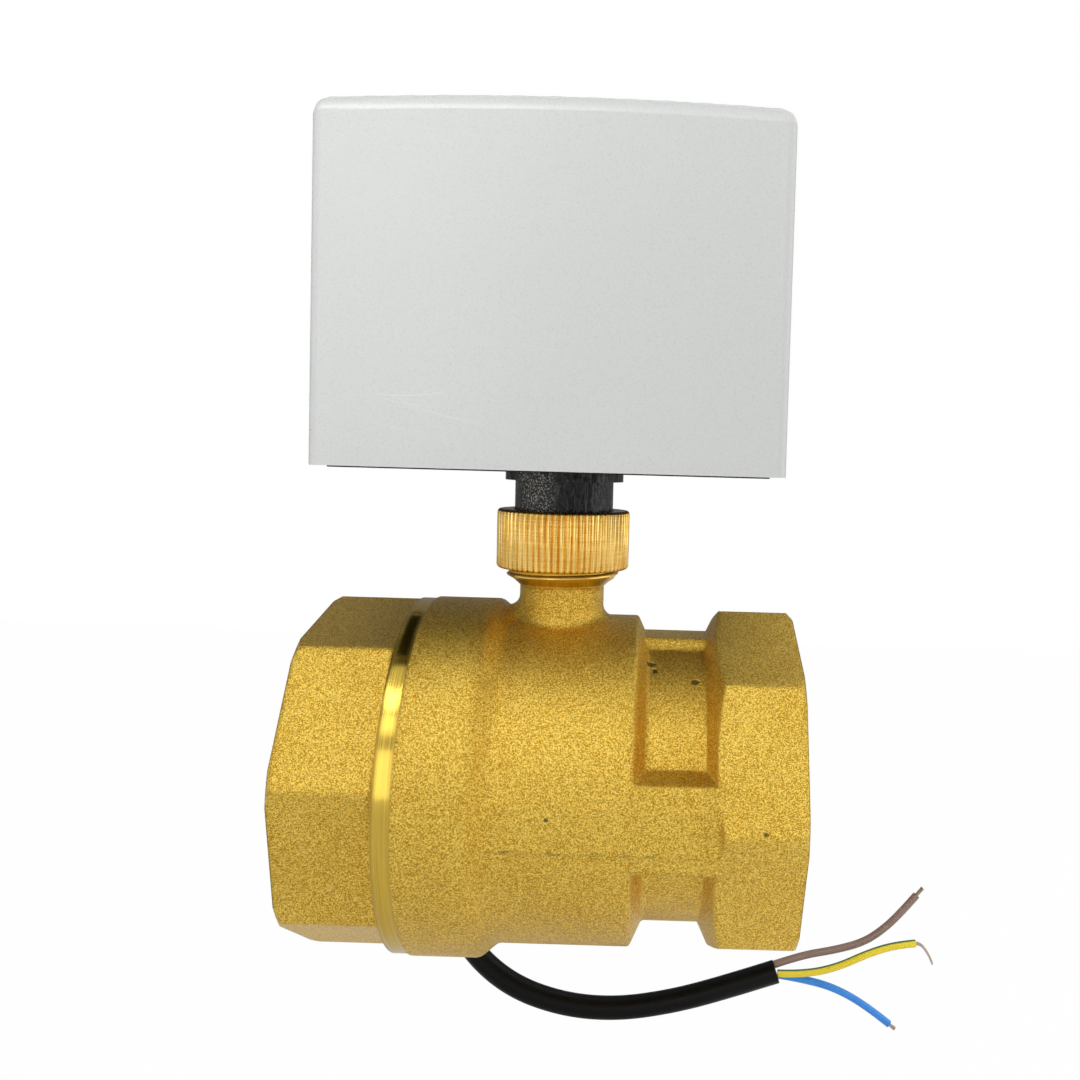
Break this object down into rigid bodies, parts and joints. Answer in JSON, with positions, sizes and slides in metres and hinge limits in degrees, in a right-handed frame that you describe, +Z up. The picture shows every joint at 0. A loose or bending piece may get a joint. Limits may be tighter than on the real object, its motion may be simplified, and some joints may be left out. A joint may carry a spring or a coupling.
{
  "type": "motorized ball valve",
  "caption": "Brass ball valve turned by a small geared motor under a pale box, held on its neck by a knurled union nut, with a stripped cable.",
  "frame": {"origin": "centre of the inlet port's mouth, on the pipe's axis", "axes": "+X along the pipe from inlet to outlet, +Z up the stem to the box, -Y to the pictured side"},
  "size_m": [0.1475, 0.089, 0.2151],
  "materials": {
    "forged_brass": "satin",
    "turned_brass": "satin",
    "seat_plastic": "matte",
    "chromed_ball": "polished",
    "steel": "satin",
    "black_rubber": "matte",
    "black_nylon": "satin",
    "pale_plastic": "matte",
    "gear_plastic": "matte",
    "switch_plastic": "matte",
    "button_plastic": "matte",
    "board_laminate": "gloss",
    "relay_plastic": "matte",
    "capacitor_plastic": "gloss",
    "terminal_plastic": "matte",
    "cable_sheath": "satin",
    "brown_insulation": "satin",
    "earth_insulation": "satin",
    "blue_insulation": "satin",
    "copper_strand": "satin"
  },
  "bodies": {
    "valve": {"valve_body": "forged_brass", "end_cap": "forged_brass", "left_seat": "seat_plastic", "right_seat": "seat_plastic", "body_gasket": "seat_plastic", "stem_washer": "seat_plastic", "snap_ring": "steel", "base_plate": "black_nylon", "housing_cover": "pale_plastic", "cover_screws": "steel", "gear_plate": "steel", "motor_can": "steel", "motor_screws": "steel", "board_spacers": "steel", "idler_pin": "steel", "open_switch": "switch_plastic", "closed_switch": "switch_plastic", "switch_screws": "steel", "circuit_board": "board_laminate", "board_screws": "steel", "relay": "relay_plastic", "capacitor": "capacitor_plastic", "terminal_block": "terminal_plastic", "cable_gland": "black_rubber", "power_cable": "cable_sheath", "brown_wire": "brown_insulation", "earth_wire": "earth_insulation", "blue_wire": "blue_insulation", "brown_tip": "copper_strand", "earth_tip": "copper_strand", "blue_tip": "copper_strand"},
    "turning": {"ball": "chromed_ball", "stem": "turned_brass", "stem_o_rings": "black_rubber", "output_shaft": "steel", "output_gear": "gear_plastic", "cam_disc": "gear_plastic"},
    "idler": {"idler_gear": "gear_plastic"},
    "pinion": {"motor_pinion": "steel"},
    "open_plunger": {"open_button": "button_plastic"},
    "closed_plunger": {"closed_button": "button_plastic"},
    "nut_carrier": {"nut_washer": "steel"},
    "nut": {"knurled_nut": "turned_brass"}
  },
  "joints": [
    {"name": "ball_turn", "type": "hinge", "parent": "valve", "child": "turning", "pos_m": [0.0503, 0, 0], "axis": [0, 0, 1], "range_deg": [0, 90]},
    {"name": "idler_turn", "type": "hinge", "parent": "valve", "child": "idler", "pos_m": [0.03083, 0.00787, 0], "axis": [0, 0, 1], "range_deg": [-360, 0]},
    {"name": "pinion_turn", "type": "hinge", "parent": "valve", "child": "pinion", "pos_m": [0.03399, -0.01006, 0], "axis": [0, 0, 1], "range_deg": [0, 1200]},
    {"name": "open_press", "type": "slide", "parent": "valve", "child": "open_plunger", "axis": [-1, 0, 0], "range_m": [0, 0.0015]},
    {"name": "closed_press", "type": "slide", "parent": "valve", "child": "closed_plunger", "axis": [1, 0, 0], "range_m": [0, 0.0015]},
    {"name": "nut_rise", "type": "slide", "parent": "valve", "child": "nut_carrier", "axis": [0, 0, 1], "range_m": [0, 0.00525]},
    {"name": "nut_turn", "type": "hinge", "parent": "nut_carrier", "child": "nut", "pos_m": [0.0503, 0, 0], "axis": [0, 0, 1], "range_deg": [0, 1260]}
  ],
  "couplings": [
    {"joint": "idler_turn", "follows": "ball_turn", "ratio": -4},
    {"joint": "pinion_turn", "follows": "ball_turn", "ratio": 13.333},
    {"joint": "open_press", "follows": "ball_turn", "m_per_rad": 0.0009549},
    {"joint": "closed_press", "follows": "ball_turn", "m_per_rad": 0.0009549},
    {"joint": "nut_rise", "follows": "nut_turn", "m_per_rad": 0.00023873}
  ]
}
